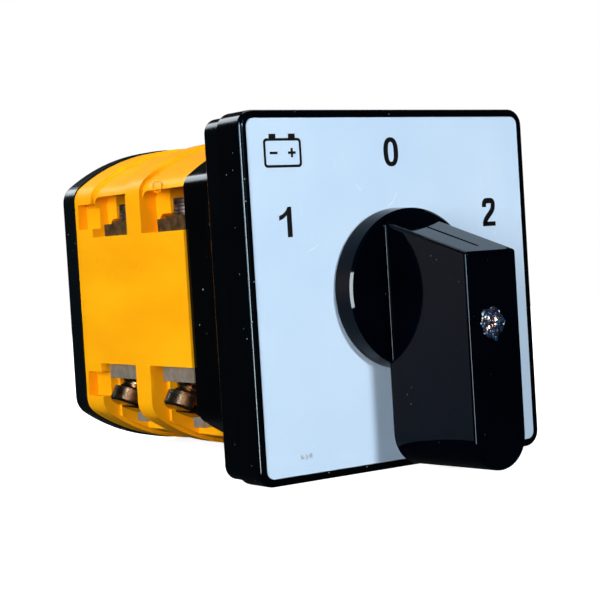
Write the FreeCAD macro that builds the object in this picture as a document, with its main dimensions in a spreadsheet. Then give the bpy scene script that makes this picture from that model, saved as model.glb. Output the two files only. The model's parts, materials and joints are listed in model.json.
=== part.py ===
import FreeCAD, Part

import math
import os

import Sketcher
from FreeCAD import Placement, Rotation, Vector

# Rotary changeover switch, positions 1 - 0 - 2, for mounting in a panel.
# Millimetres. X to the viewer's right, Y from the front into the panel, Z up.
# The origin is on the shaft axis, in the plane where the front plate meets the panel.

DIMENSIONS = {
    # front plate: frame with label, on a base that carries the mounting screws
    "plate_side": 64.0,
    "plate_corner": 3.0,
    "frame_depth": 7.0,
    "frame_edge": 0.8,
    "frame_cavity_side": 57.0,
    "frame_cavity_depth": 4.1,
    "label_side": 61.3,
    "label_corner": 1.5,
    "label_recess": 1.2,
    "label_gap": 0.1,
    "label_hole": 10.0,
    "base_side": 63.0,
    "base_corner": 2.6,
    "base_depth": 5.4,
    "base_edge": 0.7,
    "hub_hole": 7.6,
    "collar_radius": 10.5,
    "collar_rise": 2.2,
    "seal_radius": 8.05,
    "seal_wire": 0.75,
    "seal_play": 0.02,
    # knob: disc, hub and a flag grip whose sloping top points at the position
    "disc_gap": 0.3,
    "disc_rim": 14.4,
    "disc_face": 14.2,
    "disc_depth": 4.3,
    "disc_edge": 0.4,
    "disc_back_edge": 0.5,
    "hub_radius": 7.0,
    "hub_depth": 5.6,
    "grip_front": 37.4,
    "grip_half_width": 5.95,
    "grip_back": 16.1,
    "grip_low": 31.2,
    "grip_top_back": 11.8,
    "grip_top_front": 5.9,
    "grip_draft": 1.0,
    "grip_edge": 0.6,
    "grip_foot": 0.4,
    "pointer_groove": 0.7,
    "pointer_groove_depth": 0.35,
    "groove_start": 2.7,
    "groove_end": 17.2,
    "grub_radius": 2.0,
    "grub_y": 23.9,
    "grub_sink": 0.6,
    "grub_slot_width": 0.8,
    "grub_slot_depth": 0.7,
    # shaft
    "shaft_square": 7.0,
    "shaft_front": 31.9,
    "socket_gap": 0.05,
    "journal_radius": 3.0,
    "journal_gap": 0.05,
    "shaft_edge": 0.5,
    "shaft_step": 0.2,
    # outline shared by the housing, the stages and the rear plate
    "half_width": 24.0,
    "apex": 31.0,
    "arch_radius": 38.15,
    "body_corner": 4.0,
    "housing_inset": 0.5,
    "rear_outset": 0.3,
    # detent housing
    "neck_half_width": 20.6,
    "neck_half_height": 22.6,
    "neck_length": 3.0,
    "neck_spigot": 1.0,
    "neck_gap": 0.3,
    "housing_depth": 21.1,
    "housing_wall": 2.2,
    "housing_floor": 5.5,
    "housing_edge": 1.2,
    "cover_depth": 3.0,
    "cover_gap": 0.1,
    "hub_journal": 6.5,
    # fasteners
    "mount_pitch": 36.0,
    "screw_radius": 2.0,
    "screw_head_radius": 3.7,
    "screw_head_depth": 2.4,
    "screw_head_edge": 0.8,
    "screw_tip": 1.0,
    "cross_length": 4.0,
    "cross_width": 0.9,
    "recess_depth": 1.4,
    "slot_width": 1.0,
    "head_gap": 0.3,
    "head_sink": 0.2,
    "thread_gap": 0.05,
    "screw_length": 19.0,
    "boss_radius": 4.6,
    "boss_thread_room": 0.5,
    "bolt_x": 16.6,
    "bolt_gap": 0.15,
    "bolt_head_depth": 2.6,
    "bolt_head_radius": 3.5,
    "bolt_head_edge": 0.6,
    "bolt_tip": 0.6,
    "bolt_short_of_nut": 0.1,
    "nut_width": 7.0,
    "nut_depth": 3.0,
    "washer_radius": 3.9,
    "washer_depth": 0.7,
    "nut_pocket_radius": 4.2,
    "nut_pocket_depth": 4.0,
    # detent and stops
    "index_radius": 9.8,
    "notch_radius": 2.0,
    "notch_centre": 10.4,
    "notch_count": 6,
    "nose_radius": 1.7,
    "leaf_x": 11.3,
    "leaf_thickness": 0.5,
    "leaf_half_length": 13.0,
    "leaf_inset": 0.3,
    "nose_room": 3.0,
    "anchor_root": 0.5,
    "anchor_length": 4.0,
    "anchor_width": 2.7,
    "anchor_end": 1.5,
    "anchor_step": 1.0,
    "stop_turn": 60.0,
    "stop_pin_radius": 1.5,
    "stop_pin_centre": 9.5,
    "stop_pin_length": 6.0,
    "stop_pin_seat": 3.0,
    "stop_disc_radius": 7.6,
    "lug_half_width": 2.0,
    "lug_reach": 11.4,
    "stop_gap": 0.15,
    "stop_disc_depth": 2.5,
    "stop_disc_gap": 0.3,
    "sleeve_step": 0.5,
    "index_place": 4.0,
    "index_depth": 5.5,
    "hub_proud": 0.1,
    # contact stages
    "stage_depth": 21.85,
    "flange_front": 5.7,
    "flange_rear": 7.2,
    "flange_rise": 0.8,
    "relief_depth": 2.0,
    "relief_inner": 14.8,
    "relief_outer": 19.9,
    "relief_back": 20.5,
    "mid_half_height": 13.0,
    "panel_depth": 2.0,
    "cut_overlap": 1.0,
    "chamber_radius": 12.5,
    "chamber_depth": 13.2,
    "web_depth": 3.0,
    "rear_recess_radius": 14.0,
    "contact_half_width": 12.8,
    "contact_top": 26.0,
    "window_wall": 14.2,
    "window_face": 20.2,
    "window_top": 21.2,
    "window_round": 2.0,
    "recess_step": 0.8,
    "recess_front": 1.0,
    "bar_recess_top": 16.6,
    "bar_inner": 7.5,
    "bar_outer": 22.9,
    "bar_front": 1.5,
    "bar_back": 11.5,
    "bar_depth": 2.5,
    "lower_bar_depth": 3.0,
    "lower_bar_back": 13.0,
    "tip_radius": 2.3,
    "tip_x": 10.0,
    "terminal_x": 18.0,
    "terminal_y": 6.5,
    "lower_terminal_y": 9.4,
    "upper_head_radius": 3.5,
    "upper_head_height": 3.3,
    "upper_shank_length": 7.5,
    "head_room": 0.7,
    "tip_hole_depth": 5.0,
    "clamp_half_width": 3.6,
    "clamp_half_length": 3.9,
    "clamp_washer": 0.5,
    "lower_head_radius": 4.2,
    "lower_head_height": 3.0,
    "lower_shank_radius": 3.2,
    "lower_shank_length": 7.5,
    "lower_tilt": 29.0,
    "lower_head_edge": 0.5,
    "lower_slot_width": 1.2,
    "lower_head_x": 21.1,
    "lower_head_z": 22.0,
    "thread_pitch": 1.2,
    "thread_depth": 0.4,
    "thread_root": 0.15,
    "yoke_top": 22.9,
    "yoke_depth": 1.8,
    "yoke_root": 1.2,
    "yoke_outer": 21.5,
    "yoke_front": 1.5,
    "yoke_back": 5.0,
    # moving contacts and their cams
    "lift": 1.6,
    "follower_centre": 10.15,
    "follower_radius": 1.5,
    "follower_gap": 0.15,
    "cam_lead": 75.0,
    "cam_thickness": 3.5,
    "cam_upper_y": 2.7,
    "cam_lower_y": 6.9,
    "carrier_half_width": 3.6,
    "carrier_front": 2.9,
    "carrier_back": 10.1,
    "carrier_top": 22.8,
    "carrier_gap": 0.15,
    "cam_side_gap": 0.2,
    "cam_hub": 6.0,
    "cam_hub_front": 0.3,
    "cam_hub_overlap": 0.1,
    "contact_face": 16.5,
    "bridge_half_length": 12.3,
    "bridge_half_width": 3.0,
    "bridge_inner": 19.3,
    "bridge_depth": 1.5,
    "bridge_tip_rise": 1.0,
    "spring_coil": 2.4,
    "spring_wire": 0.35,
    "spring_turns": 4,
    "spring_top": 28.4,
    "spring_pocket": 3.2,
    # rear plate
    "rear_depth": 5.6,
    "rear_edge": 1.2,
    "bearing_depth": 4.6,
}

DOC = FreeCAD.newDocument("changeover_switch")
SHEET = DOC.addObject("Spreadsheet::Sheet", "dims")


def fill_sheet():
    for row, (alias, number) in enumerate(DIMENSIONS.items(), 1):
        SHEET.set(f"A{row}", alias)
        SHEET.set(f"B{row}", str(number))
        SHEET.setAlias(f"B{row}", alias)
    DOC.recompute()


def dim(text):
    """An expression of the sheet's cells: each name between braces becomes a cell."""
    return text.replace("{", "dims.").replace("}", "")


def value(text):
    """What such an expression comes to now."""
    return float(SHEET.evalExpression(dim(text)))


def bind(thing, **expressions):
    """Bind properties to expressions; a double underscore stands for a dot in a property's path."""
    for path, text in expressions.items():
        thing.setExpression(path.replace("__", "."), dim(text))


# ---------------------------------------------------------------- stations along the shaft

FRAME_FRONT = "-{frame_depth} - {base_depth}"
BASE_FRONT = "-{base_depth}"
STAGE_FRONT = {"front": "{housing_depth}", "rear": "{housing_depth} + {stage_depth}"}
REAR_FRONT = "{housing_depth} + 2 * {stage_depth}"
FLOOR_BACK = "{housing_floor}"
COVER_FRONT = "{housing_depth} - {cover_depth}"
DISC_BACK = f"({FRAME_FRONT} - {{disc_gap}})"
DISC_FACE = f"({DISC_BACK} - {{disc_depth}})"
STOP_DISC_FRONT = "{housing_floor} + {stop_disc_gap}"
INDEX_FRONT = "{housing_floor} + {index_place}"


# ---------------------------------------------------------------- modelling helpers

def new_body(label, station="0"):
    body = DOC.addObject("PartDesign::Body", label)
    body.Label = label
    bind(body, Placement__Base__y=station)
    return body


def new_sketch(body, depth="0", plane="XZ_Plane"):
    """A sketch on an origin plane of its body; on XZ it faces the front and its y is the body's Z."""
    sketch = body.newObject("Sketcher::SketchObject", f"{body.Name}_sketch")
    origin_plane = next(f for f in body.Origin.OriginFeatures if f.Role == plane)
    sketch.AttachmentSupport = [(origin_plane, "")]
    sketch.MapMode = "FlatFace"
    side = "-" if plane == "XZ_Plane" else ""
    bind(sketch, AttachmentOffset__Base__z=f"{side}({depth})")
    return sketch


def pin_point(sketch, index, end, x, z):
    for kind, text in (("DistanceX", x), ("DistanceY", z)):
        number = sketch.addConstraint(Sketcher.Constraint(kind, index, end, value(text)))
        sketch.setExpression(f"Constraints[{number}]", dim(text))


def pin_radius(sketch, index, radius):
    number = sketch.addConstraint(Sketcher.Constraint("Radius", index, value(radius)))
    sketch.setExpression(f"Constraints[{number}]", dim(radius))


def polygon(sketch, corners):
    points = [Vector(value(x), value(z), 0) for x, z in corners]
    first = sketch.GeometryCount
    for start, end in zip(points, points[1:] + points[:1]):
        sketch.addGeometry(Part.LineSegment(start, end))
    for n, (x, z) in enumerate(corners):
        after = first + (n + 1) % len(corners)
        sketch.addConstraint(Sketcher.Constraint("Coincident", first + n, 2, after, 1))
        pin_point(sketch, first + n, 1, x, z)


def rectangle(sketch, half_width, half_height):
    polygon(sketch, [
        (f"-({half_width})", f"-({half_height})"),
        (half_width, f"-({half_height})"),
        (half_width, half_height),
        (f"-({half_width})", half_height),
    ])


def circle(sketch, radius, x="0", z="0"):
    centre = Vector(value(x), value(z), 0)
    index = sketch.addGeometry(Part.Circle(centre, Vector(0, 0, 1), value(radius)))
    pin_point(sketch, index, 3, x, z)
    pin_radius(sketch, index, radius)


def arched_outline(sketch, outset):
    """The body's outline: straight sides, an arch above and below, outset all round by a dimension."""
    wide = f"({{half_width}} + {outset})"
    radius = f"({{arch_radius}} + {outset})"
    rise = f"({{apex}} - {{arch_radius}})"
    end = f"({rise} + sqrt({radius} ^ 2 - {wide} ^ 2))"
    half, high, big, centre = value(wide), value(end), value(radius), value(rise)
    opening = math.asin(half / big)
    up = math.pi / 2
    sketch.addGeometry(Part.LineSegment(Vector(half, -high, 0), Vector(half, high, 0)))
    top = Part.Circle(Vector(0, centre, 0), Vector(0, 0, 1), big)
    sketch.addGeometry(Part.ArcOfCircle(top, up - opening, up + opening))
    sketch.addGeometry(Part.LineSegment(Vector(-half, high, 0), Vector(-half, -high, 0)))
    bottom = Part.Circle(Vector(0, -centre, 0), Vector(0, 0, 1), big)
    sketch.addGeometry(Part.ArcOfCircle(bottom, -up - opening, -up + opening))
    for n in range(4):
        sketch.addConstraint(Sketcher.Constraint("Coincident", n, 2, (n + 1) % 4, 1))
    pin_point(sketch, 0, 1, wide, f"-{end}")
    pin_point(sketch, 0, 2, wide, end)
    pin_point(sketch, 2, 1, f"-{wide}", end)
    pin_point(sketch, 2, 2, f"-{wide}", f"-{end}")
    pin_radius(sketch, 1, radius)
    pin_radius(sketch, 3, radius)


def pad(body, sketch, length, reverse=True):
    """Material from the sketch towards the back."""
    feature = body.newObject("PartDesign::Pad", f"{body.Name}_pad")
    feature.Profile = sketch
    feature.Reversed = reverse
    bind(feature, Length=length)
    return feature


def pocket(body, sketch, length, forward=False):
    """A cut from the sketch towards the back, or towards the front."""
    feature = body.newObject("PartDesign::Pocket", f"{body.Name}_pocket")
    feature.Profile = sketch
    feature.Reversed = forward
    bind(feature, Length=length)
    return feature


def box_feature(body, kind, x, y, z):
    """An additive or subtractive box between pairs of bounds."""
    feature = body.newObject(f"PartDesign::{kind}Box", f"{body.Name}_{kind.lower()}_box")
    for side, axis, (low, high) in (("Length", "x", x), ("Width", "y", y), ("Height", "z", z)):
        bind(feature, **{side: f"({high}) - ({low})", f"Placement__Base__{axis}": low})
    return feature


def both_sides(body, kind, x, y, z):
    """The same box on the right and, mirrored, on the left."""
    box_feature(body, kind, x, y, z)
    return box_feature(body, kind, (f"-({x[1]})", f"-({x[0]})"), y, z)


def round_edges(body, base, radius, chosen):
    DOC.recompute()
    edges = [f"Edge{n}" for n, edge in enumerate(base.Shape.Edges, 1) if chosen(edge)]
    feature = body.newObject("PartDesign::Fillet", f"{body.Name}_fillet")
    feature.Base = (base, edges)
    bind(feature, Radius=radius)
    return feature


def runs_back(edge):
    """A straight edge along Y."""
    if edge.Curve.TypeId != "Part::GeomLine":
        return False
    return abs(abs(edge.tangentAt(edge.FirstParameter).y) - 1) < 1e-6


def corner_edge(half_width):
    """Picks the edges along Y that stand at this distance to the left and right."""
    return lambda edge: runs_back(edge) and abs(abs(edge.CenterOfMass.x) - value(half_width)) < 0.01


def rim_edge(depth, half_width, half_height):
    """Picks the edges at this depth that reach to an outline of this size."""
    near = 0.6

    def chosen(edge):
        box = edge.BoundBox
        flat = box.YLength < 0.01 and abs(box.YMin - value(depth)) < 0.01
        wide = max(-box.XMin, box.XMax) > value(half_width) - near
        tall = max(-box.ZMin, box.ZMax) > value(half_height) - near
        return flat and (wide or tall)
    return chosen


def block(name, x, y, z):
    box = DOC.addObject("Part::Box", name)
    for side, axis, (low, high) in (("Length", "x", x), ("Width", "y", y), ("Height", "z", z)):
        bind(box, **{side: f"({high}) - ({low})", f"Placement__Base__{axis}": low})
    return box


ALONG = {
    "x": Rotation(Vector(0, 1, 0), 90),
    "y": Rotation(Vector(1, 0, 0), -90),
    "z": Rotation(),
}


def rod(name, axis, radius, length, x="0", y="0", z="0"):
    """A cylinder that starts at a point and runs the positive way along an axis."""
    cylinder = DOC.addObject("Part::Cylinder", name)
    cylinder.Placement = Placement(Vector(), ALONG[axis])
    bind(cylinder, Radius=radius, Height=length)
    bind(cylinder, Placement__Base__x=x, Placement__Base__y=y, Placement__Base__z=z)
    return cylinder


def fuse(name, parts):
    result = DOC.addObject("Part::MultiFuse", name)
    result.Shapes = parts
    return result


def cut(name, base, tools):
    result = DOC.addObject("Part::Cut", name)
    result.Base = base
    result.Tool = tools[0] if len(tools) == 1 else fuse(f"{name}_tools", tools)
    return result


def mirrored(source, normal):
    result = DOC.addObject("Part::Mirroring", f"{source.Name}_mirrored")
    result.Source = source
    result.Normal = normal
    return result


def group(label, parts, station="0"):
    result = DOC.addObject("Part::Compound", label)
    result.Label = label
    result.Links = parts
    bind(result, Placement__Base__y=station)
    return result


def left_and_right(label, source, station="0"):
    return group(label, [source, mirrored(source, Vector(1, 0, 0))], station)


def at_station(feature, label, station):
    feature.Label = label
    bind(feature, Placement__Base__y=station)
    return feature


# ---------------------------------------------------------------- front plate

def bezel_frame():
    body = new_body("bezel_frame", FRAME_FRONT)
    outline = new_sketch(body)
    rectangle(outline, "{plate_side} / 2", "{plate_side} / 2")
    slab = pad(body, outline, "{frame_depth}")
    round_edges(body, slab, "{plate_corner}", corner_edge("{plate_side} / 2"))
    recess = new_sketch(body)
    rectangle(recess, "{label_side} / 2", "{label_side} / 2")
    seat = pocket(body, recess, "{label_recess}")
    rounded = round_edges(body, seat, "{label_corner}", corner_edge("{label_side} / 2"))
    round_edges(body, rounded, "{frame_edge}", rim_edge("0", "{plate_side} / 2", "{plate_side} / 2"))
    cavity = new_sketch(body, "{frame_depth}")
    rectangle(cavity, "{frame_cavity_side} / 2", "{frame_cavity_side} / 2")
    pocket(body, cavity, "{frame_cavity_depth}", forward=True)
    hole = new_sketch(body)
    circle(hole, "{hub_hole}")
    pocket(body, hole, "{frame_depth}")
    return body


def label_plate():
    body = new_body("label_plate", f"{FRAME_FRONT} + {{label_gap}}")
    outline = new_sketch(body)
    side = "{label_side} / 2 - {label_gap}"
    rectangle(outline, side, side)
    circle(outline, "{label_hole}")
    sheet = pad(body, outline, "{label_recess} - {label_gap}")
    round_edges(body, sheet, "{label_corner}", corner_edge(side))
    return body


def bezel_base():
    """The base has a collar round the knob's hub and a shallow pocket behind for the housing's neck."""
    body = new_body("bezel_base", BASE_FRONT)
    outline = new_sketch(body)
    rectangle(outline, "{base_side} / 2", "{base_side} / 2")
    slab = pad(body, outline, "{base_depth}")
    rounded = round_edges(body, slab, "{base_corner}", corner_edge("{base_side} / 2"))
    half = "{base_side} / 2"
    round_edges(body, rounded, "{base_edge}", rim_edge("{base_depth}", half, half))
    collar = new_sketch(body, "-{collar_rise}")
    circle(collar, "{collar_radius}")
    pad(body, collar, "{collar_rise}")
    seal_seat = new_sketch(body, "-{collar_rise}")
    circle(seal_seat, "{seal_radius} + {seal_wire}")
    pocket(body, seal_seat, "2 * {seal_wire}")
    bore = new_sketch(body, "-{collar_rise}")
    circle(bore, "{hub_hole}")
    pocket(body, bore, "{base_depth} + {collar_rise}")
    neck_seat = new_sketch(body, "{base_depth}")
    rectangle(neck_seat, "{neck_half_width} + {neck_gap}", "{neck_half_height} + {neck_gap}")
    pocket(body, neck_seat, "{neck_spigot}", forward=True)
    heads = new_sketch(body)
    holes = new_sketch(body)
    for x in ("-{mount_pitch} / 2", "{mount_pitch} / 2"):
        for z in ("-{mount_pitch} / 2", "{mount_pitch} / 2"):
            circle(heads, "{screw_head_radius} + {head_gap}", x, z)
            circle(holes, "{screw_radius} + {bolt_gap}", x, z)
    pocket(body, heads, "{screw_head_depth} + {head_sink}")
    pocket(body, holes, "{base_depth}")
    return body


def mounting_screws():
    """Four pan-head screws that hold the base, the panel and the detent housing together."""
    body = new_body("mounting_screw", f"{BASE_FRONT} + {{head_sink}}")
    profile = new_sketch(body, plane="YZ_Plane")
    polygon(profile, [
        ("0", "0"),
        ("0", "{screw_head_radius} - {screw_head_edge}"),
        ("{screw_head_edge}", "{screw_head_radius}"),
        ("{screw_head_depth}", "{screw_head_radius}"),
        ("{screw_head_depth}", "{screw_radius}"),
        ("{screw_length} - {screw_tip}", "{screw_radius}"),
        ("{screw_length}", "{screw_radius} - {screw_tip} / 2"),
        ("{screw_length}", "0"),
    ])
    turned(body, profile)
    long, short = "{cross_length} / 2", "{cross_width} / 2"
    for wide, tall in ((long, short), (short, long)):
        box_feature(body, "Subtractive", (f"-{wide}", wide), ("0", "{recess_depth}"), (f"-{tall}", tall))
    bind(body, Placement__Base__x="{mount_pitch} / 2", Placement__Base__z="{mount_pitch} / 2")
    upper = DOC.addObject("Part::Compound", "upper_mounting_screws")
    upper.Links = [body, mirrored(body, Vector(1, 0, 0))]
    return group("mounting_screws", [upper, mirrored(upper, Vector(0, 0, 1))])


def turned(body, profile, axis="H_Axis"):
    """A solid of revolution of the profile about its sketch's horizontal or vertical axis."""
    feature = body.newObject("PartDesign::Revolution", f"{body.Name}_turned")
    feature.Profile = profile
    feature.ReferenceAxis = (profile, [axis])
    feature.Angle = 360
    return feature


def hub_seal():
    ring = DOC.addObject("Part::Torus", "hub_seal")
    ring.Placement = Placement(Vector(), ALONG["y"])
    bind(ring, Radius1="{seal_radius}", Radius2="{seal_wire} - {seal_play}")
    bind(ring, Placement__Base__y=f"{BASE_FRONT} - {{collar_rise}} + {{seal_wire}}")
    return ring


# ---------------------------------------------------------------- knob and shaft

def knob():
    """The flag grip, then the disc and hub that it stands on, then the shaft's and grub screw's holes."""
    body = new_body("knob")
    grip = new_sketch(body, "-{grip_back}")
    grip_outline(grip)
    flag = pad(body, grip, "{grip_front} - {grip_back}", reverse=False)
    bind(flag, TaperAngle="-{grip_draft}")
    slope = new_sketch(body, "-{half_width}", plane="YZ_Plane")
    front, back = "({grip_front} + {cut_overlap})", "({grip_back} - {cut_overlap})"
    polygon(slope, [
        (f"-{front}", slope_height(front)),
        (f"-{back}", slope_height(back)),
        (f"-{back}", "{plate_side} / 2"),
        (f"-{front}", "{plate_side} / 2"),
    ])
    pointer = pocket(body, slope, "2 * {half_width}", forward=True)
    round_edges(body, pointer, "{grip_edge}", grip_edges)
    profile = new_sketch(body, plane="YZ_Plane")
    polygon(profile, [
        (DISC_FACE, "0"),
        (DISC_FACE, "{disc_face} - {disc_edge}"),
        (f"{DISC_FACE} + {{disc_edge}}", "{disc_face}"),
        (f"{DISC_BACK} - {{disc_back_edge}}", "{disc_rim}"),
        (DISC_BACK, "{disc_rim}"),
        (DISC_BACK, "{hub_radius}"),
        (f"{DISC_BACK} + {{hub_depth}}", "{hub_radius}"),
        (f"{DISC_BACK} + {{hub_depth}}", "0"),
    ])
    disc = turned(body, profile)
    round_edges(body, disc, "{grip_foot}", foot_edges)
    pointer_line(body)
    socket = new_sketch(body, f"{DISC_BACK} + {{hub_depth}}")
    half = "{shaft_square} / 2 + {socket_gap}"
    rectangle(socket, half, half)
    pocket(body, socket, f"{DISC_BACK} + {{hub_depth}} + {{shaft_front}} + {{shaft_step}}", forward=True)
    grub = new_sketch(body, "{grip_half_width} + {cut_overlap}", plane="YZ_Plane")
    circle(grub, "{grub_radius}", "-{grub_y}")
    pocket(body, grub, "{grip_half_width} + {cut_overlap} - {shaft_square} / 2")
    return body


GRIP_LENGTH = f"({{grip_front}} + {DISC_FACE})"


def slope_height(distance):
    """The height of the grip's sloping top at a distance in front of the panel."""
    return (f"({{grip_top_back}} - ({{grip_top_back}} - {{grip_top_front}})"
            f" * ({distance} + {DISC_FACE}) / {GRIP_LENGTH})")


def pointer_line(body):
    """A fine groove along the middle of the sloping top."""
    line = new_sketch(body, "-{pointer_groove} / 2", plane="YZ_Plane")
    start, end = f"({{groove_start}} - {DISC_FACE})", f"({{groove_end}} - {DISC_FACE})"
    polygon(line, [
        (f"-{start}", slope_height(start) + " - {pointer_groove_depth}"),
        (f"-{start}", "{grip_top_back} + {cut_overlap}"),
        (f"-{end}", "{grip_top_back} + {cut_overlap}"),
        (f"-{end}", slope_height(end) + " - {pointer_groove_depth}"),
    ])
    pocket(body, line, "{pointer_groove}", forward=True)


def grip_outline(sketch):
    """Straight sides, square top and half-round lower end, seen from the front."""
    half = value("{grip_half_width}")
    top = value("{grip_top_back} + {cut_overlap}")
    centre = -value("{grip_low} - {grip_half_width}")
    sketch.addGeometry(Part.LineSegment(Vector(half, centre, 0), Vector(half, top, 0)))
    sketch.addGeometry(Part.LineSegment(Vector(half, top, 0), Vector(-half, top, 0)))
    sketch.addGeometry(Part.LineSegment(Vector(-half, top, 0), Vector(-half, centre, 0)))
    end = Part.Circle(Vector(0, centre, 0), Vector(0, 0, 1), half)
    sketch.addGeometry(Part.ArcOfCircle(end, math.pi, 2 * math.pi))
    for n in range(4):
        sketch.addConstraint(Sketcher.Constraint("Coincident", n, 2, (n + 1) % 4, 1))
    pin_point(sketch, 1, 1, "{grip_half_width}", "{grip_top_back} + {cut_overlap}")
    pin_point(sketch, 1, 2, "-{grip_half_width}", "{grip_top_back} + {cut_overlap}")
    pin_point(sketch, 3, 3, "0", "{grip_half_width} - {grip_low}")
    sketch.addConstraint(Sketcher.Constraint("Horizontal", 0, 1, 3, 3))
    sketch.addConstraint(Sketcher.Constraint("Horizontal", 2, 2, 3, 3))


def grip_edges(edge):
    """The grip's front outline and the two long edges of its sloping top."""
    box = edge.BoundBox
    front = box.YMax < -value("{grip_front}") + 0.05
    along_top = box.YLength > value(GRIP_LENGTH) / 2 and box.ZMin > 0 and box.ZLength > 1
    return front or along_top


def foot_edges(edge):
    """Where the grip's two flat sides meet the face of the disc."""
    box = edge.BoundBox
    on_face = box.YLength < 0.01 and abs(box.YMin - value(DISC_FACE)) < 0.01
    return on_face and box.XLength < 0.01 and box.ZMax > 0


def knob_set_screw():
    """The grub screw that clamps the knob to the shaft, from the grip's right side."""
    outer = "{grip_half_width} - {grub_sink}"
    screw = rod("set_screw_blank", "x", "{grub_radius}", f"{outer} - {{shaft_square}} / 2",
                x="{shaft_square} / 2", y="-{grub_y}")
    slot = block("set_screw_slot", (f"{outer} - {{grub_slot_depth}}", "{grip_half_width}"),
                 ("-{grub_y} - {grub_slot_width} / 2", "-{grub_y} + {grub_slot_width} / 2"),
                 ("-2 * {grub_radius}", "2 * {grub_radius}"))
    result = cut("knob_set_screw", screw, [slot])
    result.Label = "knob_set_screw"
    return result


def shaft():
    body = new_body("shaft")
    section = new_sketch(body, "-{shaft_front}")
    rectangle(section, "{shaft_square} / 2", "{shaft_square} / 2")
    bar = pad(body, section, f"{{shaft_front}} + {REAR_FRONT} - {{shaft_step}}")
    round_edges(body, bar, "{shaft_edge}", corner_edge("{shaft_square} / 2"))
    journal = new_sketch(body, f"{REAR_FRONT} - {{shaft_step}}")
    circle(journal, "{journal_radius}")
    pad(body, journal, "{bearing_depth}")
    return body


def square_bore(body, start, length):
    bore = new_sketch(body, start)
    half = "{shaft_square} / 2 + {socket_gap}"
    rectangle(bore, half, half)
    return pocket(body, bore, length)


def stop_disc():
    """A disc whose lug meets the stop pins; its front hub turns in the housing's wall."""
    body = new_body("stop_disc", STOP_DISC_FRONT)
    hub_start = "-({housing_floor} + {neck_spigot})"
    hub = new_sketch(body, hub_start)
    circle(hub, "{hub_journal}")
    pad(body, hub, "{housing_floor} + {neck_spigot}")
    disc = new_sketch(body)
    circle(disc, "{stop_disc_radius}")
    pad(body, disc, "{stop_disc_depth}")
    box_feature(body, "Additive", ("-{lug_half_width}", "{lug_half_width}"), ("0", "{stop_disc_depth}"),
                ("0", "{lug_reach}"))
    sleeve = new_sketch(body, "{stop_disc_depth}")
    circle(sleeve, "{hub_journal} - {sleeve_step}")
    pad(body, sleeve, "{index_place} - {stop_disc_gap} - {stop_disc_depth}")
    square_bore(body, hub_start, "{housing_floor} + {neck_spigot} + {index_place}")
    return body


def index_wheel():
    """Six notches, one for every sixty degrees; its rear hub turns in the detent cover."""
    body = new_body("index_wheel", INDEX_FRONT)
    rim = new_sketch(body)
    circle(rim, "{index_radius}")
    wheel = pad(body, rim, "{index_depth}")
    notch = new_sketch(body)
    circle(notch, "{notch_radius}", "{notch_centre}")
    first = pocket(body, notch, "{index_depth}")
    ring = body.newObject("PartDesign::PolarPattern", "index_notches")
    ring.Originals = [first]
    ring.Axis = (wheel.Profile[0], ["N_Axis"])
    ring.Angle = 360
    bind(ring, Occurrences="{notch_count}")
    body.Tip = ring
    hub = new_sketch(body, "{index_depth}")
    circle(hub, "{hub_journal}")
    hub_length = f"{{housing_depth}} + {{hub_proud}} - ({INDEX_FRONT}) - {{index_depth}}"
    pad(body, hub, hub_length)
    square_bore(body, "0", f"{{index_depth}} + {hub_length}")
    return body


# ---------------------------------------------------------------- detent housing

def detent_housing():
    """A cup open to the rear, with a narrower neck in front that passes through the panel."""
    body = new_body("detent_housing")
    neck = new_sketch(body, "-{neck_spigot}")
    rectangle(neck, "{neck_half_width}", "{neck_half_height}")
    pad(body, neck, "{neck_spigot} + {neck_length}")
    outline = new_sketch(body, "{neck_length}")
    arched_outline(outline, "-{housing_inset}")
    cup = pad(body, outline, "{housing_depth} - {neck_length}")
    side = "{half_width} - {housing_inset}"
    rounded = round_edges(body, cup, "{body_corner} - {housing_inset}", corner_edge(side))
    shoulder = rim_edge("{neck_length}", side, "{apex} - {housing_inset}")
    round_edges(body, rounded, "{housing_edge}", shoulder)
    cavity = new_sketch(body, FLOOR_BACK)
    arched_outline(cavity, "(-{housing_inset} - {housing_wall})")
    pocket(body, cavity, "{housing_depth} - {housing_floor}")
    bosses = new_sketch(body, FLOOR_BACK)
    threads = new_sketch(body, "-{neck_spigot}")
    for x in ("-{mount_pitch} / 2", "{mount_pitch} / 2"):
        for z in ("-{mount_pitch} / 2", "{mount_pitch} / 2"):
            circle(bosses, "{boss_radius}", x, z)
            circle(threads, "{screw_radius}", x, z)
    pad(body, bosses, f"{COVER_FRONT} - {FLOOR_BACK}")
    pocket(body, threads, "{screw_length} - {base_depth} + {neck_spigot} + {boss_thread_room}")
    leaf_anchors(body)
    heads = new_sketch(body, "-{neck_spigot}")
    bores = new_sketch(body, "-{neck_spigot}")
    pins = new_sketch(body, "{housing_floor} - {stop_pin_seat}")
    for side in ("-", ""):
        circle(heads, "{screw_head_radius}", f"{side}{{bolt_x}}")
        circle(bores, "{screw_radius} + {bolt_gap}", f"{side}{{bolt_x}}")
        x, z = stop_pin_place(side)
        circle(pins, "{stop_pin_radius}", x, z)
    pocket(body, heads, "{bolt_head_depth} + {head_sink}")
    pocket(body, bores, "{housing_floor} + {neck_spigot}")
    pocket(body, pins, "{stop_pin_seat}")
    hub_bore = new_sketch(body, "-{neck_spigot}")
    circle(hub_bore, "{hub_journal} + {journal_gap}")
    pocket(body, hub_bore, "{housing_floor} + {neck_spigot}")
    return body


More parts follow.
